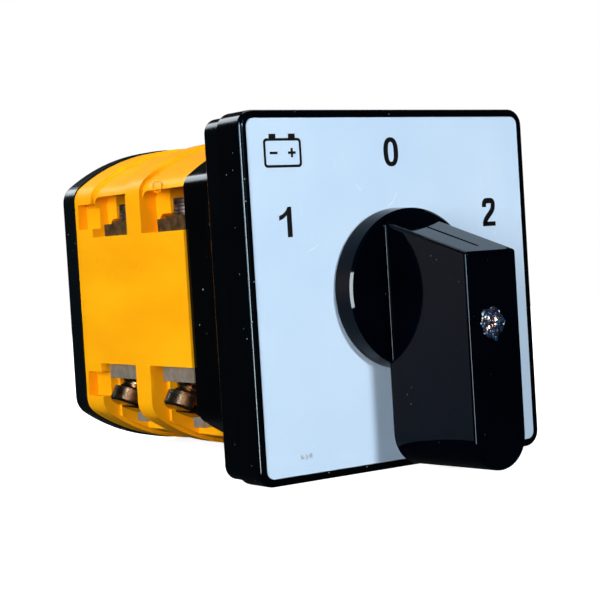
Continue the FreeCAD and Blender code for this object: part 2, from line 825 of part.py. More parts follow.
def leaf_anchors(body):
    """Two posts on each side of the floor, with a step that locates the end of each leaf spring."""
    posts = new_sketch(body, f"{FLOOR_BACK} - {{anchor_root}}")
    back = "{leaf_x} + {leaf_thickness}"
    end = "{leaf_half_length}"
    for side in ("-", ""):
        for up in ("-", ""):
            polygon(posts, [
                (f"{side}({back})", f"{up}({end} - {{anchor_length}})"),
                (f"{side}({back} + {{anchor_width}})", f"{up}({end} - {{anchor_length}})"),
                (f"{side}({back} + {{anchor_width}})", f"{up}({end} + {{anchor_end}})"),
                (f"{side}({back} - {{anchor_step}})", f"{up}({end} + {{anchor_end}})"),
                (f"{side}({back} - {{anchor_step}})", f"{up}({end})"),
                (f"{side}({back})", f"{up}({end})"),
            ])
    return pad(body, posts, f"{INDEX_FRONT} + {{index_depth}} - {FLOOR_BACK} + {{anchor_root}}")


def stop_pin_place(side):
    """A pin stands where the lug's side meets it at the end of the turn."""
    reach = "({lug_half_width} + {stop_pin_radius} + {stop_gap})"
    angle = f"({{stop_turn}} * 1 deg + asin({reach} / {{stop_pin_centre}}))"
    return f"{side}{{stop_pin_centre}} * sin({angle})", f"{{stop_pin_centre}} * cos({angle})"


def stop_pins():
    x, z = stop_pin_place("")
    pin = rod("stop_pin", "y", "{stop_pin_radius}", "{stop_pin_length}", x=x, z=z,
              y="{housing_floor} - {stop_pin_seat}")
    return left_and_right("stop_pins", pin)


def detent_springs():
    """A leaf spring at each side of the index wheel, with a nose that sits in a notch."""
    depth = (f"{INDEX_FRONT} + {{leaf_inset}}", f"{INDEX_FRONT} + {{index_depth}} - {{leaf_inset}}")
    length = "({index_depth} - 2 * {leaf_inset})"
    strip = block("leaf_strip", ("{leaf_x}", "{leaf_x} + {leaf_thickness}"), depth,
                  ("-{leaf_half_length}", "{leaf_half_length}"))
    nose = rod("leaf_nose", "y", "{nose_radius}", length, x="{notch_centre}", y=depth[0])
    hollow = rod("leaf_nose_hollow", "y", "{nose_radius} - {leaf_thickness}", length,
                 x="{notch_centre}", y=depth[0])
    behind = block("leaf_nose_back", ("{leaf_x} + {leaf_thickness}", "{leaf_x} + {nose_room}"), depth,
                   ("-{nose_room}", "{nose_room}"))
    leaf = cut("leaf_spring", fuse("leaf_blank", [strip, nose]), [hollow, behind])
    return left_and_right("detent_springs", leaf)


def detent_cover():
    body = new_body("detent_cover", COVER_FRONT)
    outline = new_sketch(body)
    arched_outline(outline, "(-{housing_inset} - {housing_wall} - {cover_gap})")
    pad(body, outline, "{cover_depth}")
    holes = new_sketch(body)
    circle(holes, "{hub_journal} + {journal_gap}")
    for side in ("-", ""):
        circle(holes, "{screw_radius} + {bolt_gap}", f"{side}{{bolt_x}}")
    pocket(body, holes, "{cover_depth}")
    return body


# ---------------------------------------------------------------- stages

def z_span(level, low, high):
    """Bounds in Z above the axis for the upper level, and mirrored below it for the lower."""
    return (low, high) if level == "upper" else (f"-({high})", f"-({low})")


def edge_along_x(depth, height):
    """Picks the edges along X that lie at this depth and height."""
    def chosen(edge):
        box = edge.BoundBox
        straight = box.YLength < 0.01 and box.ZLength < 0.01
        return straight and abs(box.YMin - value(depth)) < 0.01 and abs(box.ZMin - value(height)) < 0.01
    return chosen


def stage_body(place):
    """A moulded contact stage: windows above and below a flush middle panel, and a flange behind."""
    flange = "{flange_" + place + "}"
    flange_front = f"{{stage_depth}} - {flange}"
    body = new_body(f"stage_body_{place}", STAGE_FRONT[place])
    core = new_sketch(body)
    arched_outline(core, "-{flange_rise}")
    block_pad = pad(body, core, "{stage_depth}")
    core_side = "{half_width} - {flange_rise}"
    round_edges(body, block_pad, "{body_corner} - {flange_rise}", corner_edge(core_side))
    rim = new_sketch(body, flange_front)
    arched_outline(rim, "0")
    flange_pad = pad(body, rim, flange)
    round_edges(body, flange_pad, "{body_corner}", corner_edge("{half_width}"))
    both_sides(body, "Additive", ("{half_width} - {panel_depth}", "{half_width}"),
               ("0", "{stage_depth}"), ("-{mid_half_height}", "{mid_half_height}"))
    shaft_chamber(body)
    contact_chambers(body)
    upper_windows(body, flange_front)
    lower_windows(body, flange_front)
    if place == "rear":
        wire_reliefs(body, flange_front)
    bolts = new_sketch(body)
    for side in ("-", ""):
        circle(bolts, "{screw_radius} + {bolt_gap}", f"{side}{{bolt_x}}")
    pocket(body, bolts, "{stage_depth}")
    return body


def wire_reliefs(body, flange_front):
    """Shallow recesses that carry the windows on into the thick rear flange."""
    for low, high in (("{relief_inner}", "{relief_outer}"), ("-{relief_outer}", "-{relief_inner}")):
        both_sides(body, "Subtractive", ("{half_width} - {relief_depth}", OUTSIDE),
                   (flange_front, "{relief_back}"), (low, high))


def shaft_chamber(body):
    chamber = new_sketch(body)
    circle(chamber, "{chamber_radius}")
    pocket(body, chamber, "{chamber_depth}")
    recess = new_sketch(body, "{stage_depth}")
    circle(recess, "{rear_recess_radius}")
    pocket(body, recess, "{stage_depth} - {chamber_depth} - {web_depth}", forward=True)
    bore = new_sketch(body)
    circle(bore, "{cam_hub} + {journal_gap}")
    pocket(body, bore, "{stage_depth}")


def contact_chambers(body):
    slot = "{carrier_half_width} + {carrier_gap}"
    for level in ("upper", "lower"):
        box_feature(body, "Subtractive", ("-{contact_half_width}", "{contact_half_width}"),
                    ("0", "{chamber_depth}"), z_span(level, "{mid_half_height}", "{contact_top}"))
        box_feature(body, "Subtractive", (f"-({slot})", slot), ("0", "{carrier_back} + {carrier_gap}"),
                    z_span(level, "{chamber_radius} - {cut_overlap}",
                           "{mid_half_height} + {cut_overlap}"))
        spring_well = body.newObject("PartDesign::SubtractiveCylinder", f"{body.Name}_spring_well")
        bind(spring_well, Radius="{spring_pocket}",
             Height="{spring_top} - {contact_top} + {cut_overlap}",
             Placement__Base__y="{terminal_y}",
             Placement__Base__z=z_span(level, "{contact_top} - {cut_overlap}", "{spring_top}")[0])


OUTSIDE = "{half_width} + {cut_overlap}"


def upper_windows(body, flange_front):
    """A window with a rounded inner corner, a recess round each bar and a well for each screw's head."""
    window = both_sides(body, "Subtractive", ("{window_face}", OUTSIDE), ("0", flange_front),
                        ("{mid_half_height}", "{window_top}"))
    rounded = round_edges(body, window, "{window_round}", edge_along_x(flange_front, "{window_top}"))
    recess_back = f"{flange_front} - {{recess_step}}"
    recess = both_sides(body, "Subtractive", ("{window_wall}", "{window_face}"),
                        ("{recess_front}", recess_back), ("{mid_half_height}", "{bar_recess_top}"))
    round_edges(body, recess, "{window_round}", edge_along_x(recess_back, "{bar_recess_top}"))
    well = "{upper_head_radius} + {head_room}"
    both_sides(body, "Subtractive", ("{window_wall}", "{window_face}"),
               (f"{{terminal_y}} - ({well})", f"{{terminal_y}} + ({well})"),
               ("{bar_recess_top}", "{window_top}"))
    bar_slots(body, "upper", "{bar_depth}")
    for side in ("-", ""):
        hole = body.newObject("PartDesign::SubtractiveCylinder", f"{body.Name}_screw_tip_hole")
        bind(hole, Radius="{screw_radius} + {bolt_gap}", Height="{tip_hole_depth}",
             Placement__Base__x=f"{side}{{terminal_x}}", Placement__Base__y="{terminal_y}",
             Placement__Base__z="{mid_half_height} - {tip_hole_depth}")
    return rounded


def lower_windows(body, flange_front):
    """Open at the corner below, because the large terminal screws lean outwards."""
    both_sides(body, "Subtractive", ("{window_face}", OUTSIDE), ("0", flange_front),
               ("-{apex}", "-{mid_half_height}"))
    both_sides(body, "Subtractive", ("{window_wall}", "{window_face}"),
               ("{recess_front}", f"{flange_front} - {{recess_step}}"),
               ("-{apex}", "-{mid_half_height}"))
    bar_slots(body, "lower", "{lower_bar_depth}")
    both_sides(body, "Subtractive", ("{window_wall} - {yoke_root}", "{window_wall}"),
               ("{yoke_front}", "{yoke_back}"), ("-{yoke_top} - {yoke_depth}", "-{yoke_top}"))
    for side, tilt in (("", -1), ("-", 1)):
        hole = body.newObject("PartDesign::SubtractiveCylinder", f"{body.Name}_screw_tip_hole")
        hole.Placement = Placement(Vector(), Rotation(Vector(0, 1, 0), tilt * value("{lower_tilt}")))
        bind(hole, Radius="{lower_shank_radius} + {head_gap}",
             Height="{lower_head_height} + {lower_shank_length} + {head_gap}",
             Placement__Base__x=f"{side}{{lower_head_x}}", Placement__Base__y="{lower_terminal_y}",
             Placement__Base__z="-{lower_head_z}")


def bar_span(level):
    """How far the bars of a level reach in depth."""
    return "{bar_front}", "{bar_back}" if level == "upper" else "{lower_bar_back}"


def bar_slots(body, level, thickness):
    both_sides(body, "Subtractive", ("{contact_half_width}", "{window_wall}"),
               bar_span(level), z_span(level, "{mid_half_height}", f"{{mid_half_height}} + {thickness}"))


def fixed_contacts(place, level):
    thickness = "{bar_depth}" if level == "upper" else "{lower_bar_depth}"
    name = f"{place}_{level}_bar"
    bar = block(f"{name}_blank", ("{bar_inner}", "{bar_outer}"), bar_span(level),
                z_span(level, "{mid_half_height}", f"{{mid_half_height}} + {thickness}"))
    if level == "upper":
        hole = upper_screw_hole(name)
    else:
        hole = rod(f"{name}_hole", "z", "{lower_shank_radius}",
                   "{lower_head_height} + {lower_shank_length} + {cut_overlap}")
        lean_outwards(hole)
    drilled = cut(f"{name}_drilled", bar, [hole])
    return left_and_right(f"fixed_contacts_{level}_{place}", drilled, STAGE_FRONT[place])


def upper_screw_hole(name):
    """A hole for an upper terminal screw, through the bar and the washer on it."""
    return rod(f"{name}_hole", "z", "{screw_radius}", "{bar_depth} + {clamp_washer} + 2 * {cut_overlap}",
               x="{terminal_x}", y="{terminal_y}", z="{mid_half_height} - {cut_overlap}")


def lean_outwards(thing):
    """Put a solid made along Z on the leaning axis of the right-hand lower terminal screw."""
    thing.Placement = Placement(Vector(), Rotation(Vector(0, 1, 0), -value("{lower_tilt}")))
    bind(thing, Placement__Base__x="{lower_head_x}", Placement__Base__y="{lower_terminal_y}",
         Placement__Base__z="-{lower_head_z}")


def fixed_tips(place, level):
    thickness = "{bar_depth}" if level == "upper" else "{lower_bar_depth}"
    low, _ = z_span(level, f"{{mid_half_height}} + {thickness}", "{contact_face}")
    height = f"{{contact_face}} - {{mid_half_height}} - {thickness}"
    tip = rod(f"{place}_{level}_fixed_tip", "z", "{tip_radius}", height,
              x="{tip_x}", y="{terminal_y}", z=low)
    return left_and_right(f"fixed_tips_{level}_{place}", tip, STAGE_FRONT[place])


def terminal_screws_upper(place):
    name = f"{place}_upper_screw"
    seat = "({mid_half_height} + {bar_depth} + {clamp_washer})"
    head = rod(f"{name}_head", "z", "{upper_head_radius}", "{upper_head_height}", x="{terminal_x}",
               y="{terminal_y}", z=seat)
    shank = rod(f"{name}_shank", "z", "{screw_radius}", "{upper_shank_length}", x="{terminal_x}",
                y="{terminal_y}", z=f"{seat} - {{upper_shank_length}}")
    top = f"{seat} + {{upper_head_height}}"
    slot = block(f"{name}_slot",
                 ("{terminal_x} - {upper_head_radius}", "{terminal_x} + {upper_head_radius}"),
                 ("{terminal_y} - {slot_width} / 2", "{terminal_y} + {slot_width} / 2"),
                 (f"{top} - {{recess_depth}}", top))
    screw = cut(name, fuse(f"{name}_blank", [head, shank]), [slot])
    return left_and_right(f"terminal_screws_upper_{place}", screw, STAGE_FRONT[place])


def clamp_washers(place):
    name = f"{place}_clamp_washer"
    seat = "{mid_half_height} + {bar_depth}"
    plate = block(f"{name}_blank",
                  ("{terminal_x} - {clamp_half_width}", "{terminal_x} + {clamp_half_width}"),
                  ("{terminal_y} - {clamp_half_length}", "{terminal_y} + {clamp_half_length}"),
                  (seat, f"{seat} + {{clamp_washer}}"))
    washer = cut(name, plate, [upper_screw_hole(name)])
    return left_and_right(f"clamp_washers_{place}", washer, STAGE_FRONT[place])


def terminal_screws_lower(place):
    """Large screws that lean outwards, with their thread crests bare between the head and the bar."""
    body = new_body(f"{place}_lower_screw")
    profile = new_sketch(body, plane="XZ_Plane")
    root = "{lower_shank_radius} - {thread_depth}"
    corners = [
        ("0", "0"),
        ("{lower_head_radius} - {lower_head_edge}", "0"),
        ("{lower_head_radius}", "{lower_head_edge}"),
        ("{lower_head_radius}", "{lower_head_height}"),
        (root, "{lower_head_height}"),
    ]
    turns = int(value("{lower_shank_length} / {thread_pitch}"))
    for turn in range(turns):
        start = f"{{lower_head_height}} + {turn} * {{thread_pitch}}"
        corners.append((root, f"{start} + {{thread_root}} * {{thread_pitch}}"))
        corners.append(("{lower_shank_radius}", f"{start} + {{thread_pitch}} / 2"))
        corners.append((root, f"{start} + (1 - {{thread_root}}) * {{thread_pitch}}"))
    corners.append(("0", f"{{lower_head_height}} + {turns} * {{thread_pitch}}"))
    polygon(profile, corners)
    turned(body, profile, "V_Axis")
    box_feature(body, "Subtractive", ("-{lower_slot_width} / 2", "{lower_slot_width} / 2"),
                ("-{lower_head_radius}", "{lower_head_radius}"), ("0", "{recess_depth}"))
    lean_outwards(body)
    return left_and_right(f"terminal_screws_lower_{place}", body, STAGE_FRONT[place])


def clamp_yokes(place):
    yoke = block(f"{place}_clamp_yoke", ("{window_wall} - {yoke_root}", "{yoke_outer}"),
                 ("{yoke_front}", "{yoke_back}"), ("-{yoke_top} - {yoke_depth}", "-{yoke_top}"))
    return left_and_right(f"clamp_yokes_{place}", yoke, STAGE_FRONT[place])


# ---------------------------------------------------------------- moving contacts

BRIDGE_DEPTH = ("{terminal_y} - {bridge_half_width}", "{terminal_y} + {bridge_half_width}")


def carrier(place, level):
    """A slide whose round foot follows its cam and whose head holds the bridge."""
    name = f"{place}_{level}_carrier"
    foot_depth = ("{carrier_front}", "{cam_upper_y} + {cam_thickness} - {cam_side_gap}")
    if level == "lower":
        foot_depth = ("{cam_lower_y} + {cam_side_gap}", "{carrier_back}")
    width = ("-{carrier_half_width}", "{carrier_half_width}")
    centre = z_span(level, "{follower_centre}", "{follower_centre}")[0]
    foot = rod(f"{name}_foot", "y", "{follower_radius}", f"{foot_depth[1]} - ({foot_depth[0]})",
               y=foot_depth[0], z=centre)
    neck = block(f"{name}_neck", ("-{follower_radius}", "{follower_radius}"), foot_depth,
                 z_span(level, "{follower_centre}", "{mid_half_height}"))
    head = block(f"{name}_head", width, ("{carrier_front}", "{carrier_back}"),
                 z_span(level, "{mid_half_height}", "{carrier_top}"))
    slot = block(f"{name}_slot", width, BRIDGE_DEPTH,
                 z_span(level, "{bridge_inner}", "{bridge_inner} + {bridge_depth}"))
    result = cut(name, fuse(f"{name}_blank", [foot, neck, head]), [slot])
    return at_station(result, f"carrier_{level}_{place}", STAGE_FRONT[place])


def bridge(place, level):
    bar = block(f"{place}_{level}_bridge", ("-{bridge_half_length}", "{bridge_half_length}"),
                BRIDGE_DEPTH, z_span(level, "{bridge_inner}", "{bridge_inner} + {bridge_depth}"))
    return group(f"bridge_{level}_{place}", [bar], STAGE_FRONT[place])


def bridge_tips(place, level):
    low, _ = z_span(level, "{bridge_inner} - {bridge_tip_rise}", "{bridge_inner}")
    tip = rod(f"{place}_{level}_bridge_tip", "z", "{tip_radius}", "{bridge_tip_rise}",
              x="{tip_x}", y="{terminal_y}", z=low)
    return left_and_right(f"bridge_tips_{level}_{place}", tip, STAGE_FRONT[place])


SECTIONS_PER_TURN = 14
WIRE_SIDES = 8


def coil(radius, wire, low, high, turns):
    """A coil spring along Z, ruled between many-sided sections of its wire."""
    steps = turns * SECTIONS_PER_TURN
    sections = []
    for step in range(steps + 1):
        share = step / steps
        turn = 2 * math.pi * turns * share
        outwards = Vector(math.cos(turn), math.sin(turn), 0)
        centre = outwards * radius + Vector(0, 0, low + (high - low) * share)
        corners = [2 * math.pi * corner / WIRE_SIDES for corner in range(WIRE_SIDES)]
        points = [centre + outwards * (wire * math.cos(c)) + Vector(0, 0, wire * math.sin(c))
                  for c in corners]
        sections.append(Part.makePolygon(points + points[:1]))
    return Part.makeLoft(sections, True, True)


def contact_spring(place, level):
    """A coil spring between the carrier's head and the well in the stage's arch."""
    low, high = z_span(level, "{carrier_top} + {spring_wire}", "{spring_top} - {spring_wire}")
    spring = DOC.addObject("Part::Feature", f"contact_spring_{level}_{place}")
    spring.Shape = coil(value("{spring_coil}"), value("{spring_wire}"), value(low), value(high),
                        int(value("{spring_turns}")))
    depth = value(f"{STAGE_FRONT[place]} + {{terminal_y}}")
    spring.Placement = Placement(Vector(0, depth, 0), Rotation())
    return spring


def cam_lead(angle):
    """How far the follower's centre stands from its rest radius, for an angle round the cam in degrees.

    Across the lead it falls evenly, so the contact's travel is in step with the knob's turn.
    Round the rest of the cam it eases back to where it started.
    """
    lead = value("{cam_lead}")
    rate = value("{lift} / {stop_turn}")
    if angle > 180:
        angle -= 360
    if abs(angle) <= lead:
        return -rate * angle
    share = ((angle % 360) - lead) / (360 - 2 * lead)
    return -rate * lead * math.cos(math.pi * share)


def cam_point(angle, level):
    """A point on the cam: the follower centre's path, moved in by its radius and a running gap."""
    hand = 1 if level == "upper" else -1
    step = 0.5
    radius = value("{follower_centre}") + hand * cam_lead(angle % 360)
    ahead = hand * cam_lead((angle + step) % 360)
    behind = hand * cam_lead((angle - step) % 360)
    slope = (ahead - behind) / math.radians(2 * step)
    inward = value("{follower_radius} + {follower_gap}") / math.hypot(radius, slope)
    turn = math.radians(angle if level == "upper" else angle + 180)
    outwards = Vector(math.sin(turn), math.cos(turn), 0)
    sideways = Vector(math.cos(turn), -math.sin(turn), 0)
    return outwards * (radius - inward * radius) + sideways * (inward * slope)


def cam(place, level):
    """A cam for one contact, with a hub that reaches the next piece on the shaft."""
    body = new_body(f"cam_{level}_{place}", STAGE_FRONT[place])
    front = "{cam_upper_y}" if level == "upper" else "{cam_lower_y}"
    outline = new_sketch(body, front)
    curve = Part.BSplineCurve()
    curve.interpolate([cam_point(angle, level) for angle in range(0, 360, 10)], PeriodicFlag=True)
    outline.addGeometry(curve)
    pad(body, outline, "{cam_thickness}")
    hub_front, hub_back = "{cam_hub_front}", "{cam_lower_y} - 2 * {cam_hub_overlap}"
    if level == "lower":
        hub_front = "{cam_lower_y} - {cam_hub_overlap}"
        hub_back = "{stage_depth} + {hub_proud}"
        if place == "rear":
            hub_back = "{stage_depth} - {cam_hub_front}"
    hub = new_sketch(body, hub_front)
    circle(hub, "{cam_hub}")
    pad(body, hub, f"{hub_back} - ({hub_front})")
    square_bore(body, hub_front, f"{hub_back} - ({hub_front})")
    return body


# ---------------------------------------------------------------- rear plate and through-bolts

def rear_plate():
    body = new_body("rear_plate", REAR_FRONT)
    outline = new_sketch(body)
    arched_outline(outline, "{rear_outset}")
    slab = pad(body, outline, "{rear_depth}")
    side = "{half_width} + {rear_outset}"
    rounded = round_edges(body, slab, "{body_corner} + {rear_outset}", corner_edge(side))
    round_edges(body, rounded, "{rear_edge}", rim_edge("{rear_depth}", side, "{apex} + {rear_outset}"))
    bearing = new_sketch(body)
    circle(bearing, "{journal_radius} + {journal_gap}")
    pocket(body, bearing, "{bearing_depth}")
    nuts = new_sketch(body, "{rear_depth}")
    bolts = new_sketch(body)
    for side in ("-", ""):
        circle(nuts, "{nut_pocket_radius}", f"{side}{{bolt_x}}")
        circle(bolts, "{screw_radius} + {bolt_gap}", f"{side}{{bolt_x}}")
    pocket(body, nuts, "{nut_pocket_depth}", forward=True)
    pocket(body, bolts, "{rear_depth}")
    return body


NUT_SEAT = f"{REAR_FRONT} + {{rear_depth}} - {{nut_pocket_depth}}"


def through_bolts():
    """Two long screws that clamp the housing, the stages and the rear plate together."""
    body = new_body("through_bolt", "-{neck_spigot} + {head_sink}")
    profile = new_sketch(body, plane="YZ_Plane")
    end = f"{NUT_SEAT} + {{neck_spigot}} + {{washer_depth}} + {{nut_depth}} - {{bolt_short_of_nut}}"
    polygon(profile, [
        ("0", "0"),
        ("0", "{bolt_head_radius} - {bolt_head_edge}"),
        ("{bolt_head_edge}", "{bolt_head_radius}"),
        ("{bolt_head_depth}", "{bolt_head_radius}"),
        ("{bolt_head_depth}", "{screw_radius}"),
        (f"{end} - {{bolt_tip}}", "{screw_radius}"),
        (end, "{screw_radius} - {bolt_tip}"),
        (end, "0"),
    ])
    turned(body, profile)
    box_feature(body, "Subtractive", ("-{bolt_head_radius}", "{bolt_head_radius}"),
                ("0", "{recess_depth}"), ("-{slot_width} / 2", "{slot_width} / 2"))
    bind(body, Placement__Base__x="{bolt_x}")
    return left_and_right("through_bolts", body)


def bolt_washers():
    disc = rod("bolt_washer_blank", "y", "{washer_radius}", "{washer_depth}", x="{bolt_x}")
    hole = rod("bolt_washer_hole", "y", "{screw_radius} + {bolt_gap}", "{washer_depth}", x="{bolt_x}")
    return left_and_right("bolt_washers", cut("bolt_washer", disc, [hole]), NUT_SEAT)


def bolt_nuts():
    hexagon = DOC.addObject("Part::Prism", "bolt_nut_blank")
    hexagon.Placement = Placement(Vector(), ALONG["y"])
    hexagon.Polygon = 6
    bind(hexagon, Circumradius="{nut_width} / sqrt(3)", Height="{nut_depth}",
         Placement__Base__x="{bolt_x}")
    hole = rod("bolt_nut_hole", "y", "{screw_radius} + {thread_gap}", "{nut_depth}", x="{bolt_x}")
    nut = cut("bolt_nut", hexagon, [hole])
    return left_and_right("bolt_nuts", nut, f"{NUT_SEAT} + {{washer_depth}}")


# ---------------------------------------------------------------- the whole switch

def build():
    """Make every sub-part and return them in the order of assembly."""
    fill_sheet()
    nodes = [bezel_frame(), label_plate(), bezel_base(), mounting_screws(), hub_seal()]
    nodes += [knob(), knob_set_screw(), shaft(), stop_disc(), index_wheel()]
    nodes += [detent_housing(), stop_pins(), detent_springs(), detent_cover()]
    for place in ("front", "rear"):
        nodes += [stage_body(place), terminal_screws_upper(place), clamp_washers(place)]
        nodes += [terminal_screws_lower(place), clamp_yokes(place)]
        for level in ("upper", "lower"):
            nodes += [fixed_contacts(place, level), fixed_tips(place, level)]
            nodes += [carrier(place, level), bridge(place, level), bridge_tips(place, level)]
            nodes += [contact_spring(place, level), cam(place, level)]
    nodes += [rear_plate(), through_bolts(), bolt_washers(), bolt_nuts()]
    DOC.recompute()
    return nodes


def check(nodes):
    """Stop before anything is written if an object failed or a cut removed nothing."""
    faults = []
    for thing in DOC.Objects:
        removes = thing.TypeId == "PartDesign::Pocket" or "Subtractive" in thing.TypeId
        if "Invalid" in thing.State or "Error" in thing.State:
            faults.append(f"{thing.Name}: {thing.getStatusString()}")
        elif removes and thing.Shape.isNull():
            faults.append(f"{thing.Name} has no shape")
        elif removes and thing.Shape.Volume > thing.BaseFeature.Shape.Volume - 1e-6:
            faults.append(f"{thing.Name} cuts nothing")
    for node in nodes:
        if node.Shape.isNull() or not node.Shape.isValid():
            faults.append(f"{node.Label} has no sound shape")
    if faults:
        raise RuntimeError("\n".join(faults))


def write(nodes):
    os.makedirs("parts", exist_ok=True)
    for node in nodes:
        node.Shape.exportStep(f"parts/{node.Label}.step")


NODES = build()
check(NODES)
write(NODES)
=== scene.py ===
import json
import math

import bmesh
import bpy
from mathutils import Matrix, Vector, noise

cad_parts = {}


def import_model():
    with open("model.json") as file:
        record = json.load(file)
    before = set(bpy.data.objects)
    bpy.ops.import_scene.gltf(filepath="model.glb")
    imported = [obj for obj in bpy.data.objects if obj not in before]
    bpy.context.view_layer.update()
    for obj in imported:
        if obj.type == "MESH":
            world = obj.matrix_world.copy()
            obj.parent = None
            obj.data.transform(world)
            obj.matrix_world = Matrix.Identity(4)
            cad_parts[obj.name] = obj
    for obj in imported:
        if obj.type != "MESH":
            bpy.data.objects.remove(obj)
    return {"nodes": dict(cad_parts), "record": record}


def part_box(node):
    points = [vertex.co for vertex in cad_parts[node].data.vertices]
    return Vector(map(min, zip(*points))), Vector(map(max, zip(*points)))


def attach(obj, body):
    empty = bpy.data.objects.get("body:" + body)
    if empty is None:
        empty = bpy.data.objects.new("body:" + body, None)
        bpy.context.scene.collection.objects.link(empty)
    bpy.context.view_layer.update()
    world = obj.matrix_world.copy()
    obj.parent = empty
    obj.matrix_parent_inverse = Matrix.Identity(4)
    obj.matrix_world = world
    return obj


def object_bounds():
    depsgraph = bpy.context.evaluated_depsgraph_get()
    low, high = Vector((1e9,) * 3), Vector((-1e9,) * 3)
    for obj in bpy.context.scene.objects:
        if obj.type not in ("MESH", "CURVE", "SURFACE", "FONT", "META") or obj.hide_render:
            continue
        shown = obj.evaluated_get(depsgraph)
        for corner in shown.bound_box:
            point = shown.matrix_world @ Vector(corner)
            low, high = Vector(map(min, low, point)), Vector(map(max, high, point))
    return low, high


# Rotary changeover switch, dressed over its CAD frame. Metres; X to the viewer's right,
# Y from the front into the panel, Z up, origin on the shaft axis in the panel plane.

MM = 0.001
NO_TURN = (0.0, 0.0, 0.0)
ORIGIN = (0, 0, 0)
WHITE = (1.0, 1.0, 1.0, 1.0)

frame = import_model()
CAD_BOX = [list(corner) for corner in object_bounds()]


# ---------------------------------------------------------------- material building blocks

class Nodes:
    """A Principled material under construction, with the few node patterns used here."""

    def __init__(self, name, roughness, metallic=0.0, specular=0.5):
        self.material = bpy.data.materials.new(name)
        self.material.use_nodes = True
        self.tree = self.material.node_tree
        self.shader = self.tree.nodes["Principled BSDF"]
        self.shader.inputs["Roughness"].default_value = roughness
        self.shader.inputs["Metallic"].default_value = metallic
        self.shader.inputs["Specular IOR Level"].default_value = specular
        self.place = self.new("ShaderNodeTexCoord").outputs["Object"]
        self.height = None

    def new(self, kind, **settings):
        """A node of that kind with its settings made."""
        node = self.tree.nodes.new(kind)
        for name, setting in settings.items():
            setattr(node, name, setting)
        return node

    def link(self, source, target):
        self.tree.links.new(source, target)

    def stretched(self, scale, turn=NO_TURN):
        """The object coordinates, turned and scaled per axis."""
        mapping = self.new("ShaderNodeMapping")
        mapping.inputs["Scale"].default_value = scale
        mapping.inputs["Rotation"].default_value = turn
        self.link(self.place, mapping.inputs["Vector"])
        return mapping.outputs["Vector"]

    def cloud(self, size, detail=3.0, where=None):
        """Soft noise whose features are about size metres across, or follow where."""
        texture = self.new("ShaderNodeTexNoise")
        texture.inputs["Scale"].default_value = 1.0 / size
        texture.inputs["Detail"].default_value = detail
        self.link(where or self.place, texture.inputs["Vector"])
        return texture.outputs["Fac"]

    def cells(self, spacing):
        """The distance to the nearest of points scattered about spacing metres apart."""
        texture = self.new("ShaderNodeTexVoronoi", feature="F1")
        texture.inputs["Scale"].default_value = 1.0 / spacing
        self.link(self.place, texture.inputs["Vector"])
        return texture.outputs["Distance"]

    def specks(self, spacing, radius):
        """1 on small soft dots scattered about spacing metres apart, else 0."""
        return self.between(self.cells(spacing), radius, radius * 0.6)

    def between(self, source, low, high):
        """source mapped from low..high to 0..1, clamped."""
        ramp = self.new("ShaderNodeMapRange")
        ramp.inputs["From Min"].default_value = low
        ramp.inputs["From Max"].default_value = high
        self.link(source, ramp.inputs["Value"])
        return ramp.outputs["Result"]

    def product(self, first, second):
        """first times second; second is a number or another node's output."""
        multiply = self.new("ShaderNodeMath", operation="MULTIPLY")
        self.link(first, multiply.inputs[0])
        if isinstance(second, float):
            multiply.inputs[1].default_value = second
        else:
            self.link(second, multiply.inputs[1])
        return multiply.outputs[0]

    def blend(self, factor, first, second):
        """A colour between first and second; each is a colour or another node's output."""
        mix = self.new("ShaderNodeMix", data_type="RGBA")
        colour_a, colour_b, colour_out = 6, 7, 2
        self.link(factor, mix.inputs["Factor"])
        for socket, colour in ((mix.inputs[colour_a], first), (mix.inputs[colour_b], second)):
            if isinstance(colour, tuple):
                socket.default_value = (*colour, 1.0)
            else:
                self.link(colour, socket)
        return mix.outputs[colour_out]

    def colour(self, source):
        self.link(source, self.shader.inputs["Base Color"])

    def roughness(self, factor, low, high):
        """Roughness from low to high as factor goes from 0 to 1."""
        ramp = self.new("ShaderNodeMapRange")
        ramp.inputs["To Min"].default_value = low
        ramp.inputs["To Max"].default_value = high
        self.link(factor, ramp.inputs["Value"])
        self.link(ramp.outputs["Result"], self.shader.inputs["Roughness"])

    def bump(self, factor, depth, strength=1.0):
        """Raises the surface by depth metres where factor is 1, on top of earlier bumps."""
        bump = self.new("ShaderNodeBump")
        bump.inputs["Strength"].default_value = strength
        bump.inputs["Distance"].default_value = depth
        self.link(factor, bump.inputs["Height"])
        if self.height is not None:
            self.link(self.height, bump.inputs["Normal"])
        self.height = bump.outputs["Normal"]
        self.link(self.height, self.shader.inputs["Normal"])


COOL_GLEAM = (0.3, 0.65, 1.0, 1.0)
DUST_GREY = (0.32, 0.38, 0.44)


def black_plastic(name, tone, gloss, dust, specular):
    """Glossy moulded plastic: faint orange peel, uneven gloss and a little settled dust."""
    made = Nodes(name, gloss, specular=specular)
    made.shader.inputs["Specular Tint"].default_value = COOL_GLEAM
    paler = tuple(channel * 1.9 for channel in tone)
    body = made.blend(made.between(made.cloud(9 * MM), 0.35, 0.7), tone, paler)
    grains = made.specks(2.4 * MM, 0.07)
    patches = made.between(made.cloud(7 * MM), 0.46, 0.54)
    settled = made.product(made.product(grains, patches), dust)
    made.colour(made.blend(settled, body, DUST_GREY))
    made.roughness(made.cloud(4 * MM, 5.0), gloss * 0.75, gloss * 1.35)
    made.bump(made.cloud(0.9 * MM, 2.0), 0.004 * MM)
    return made.material


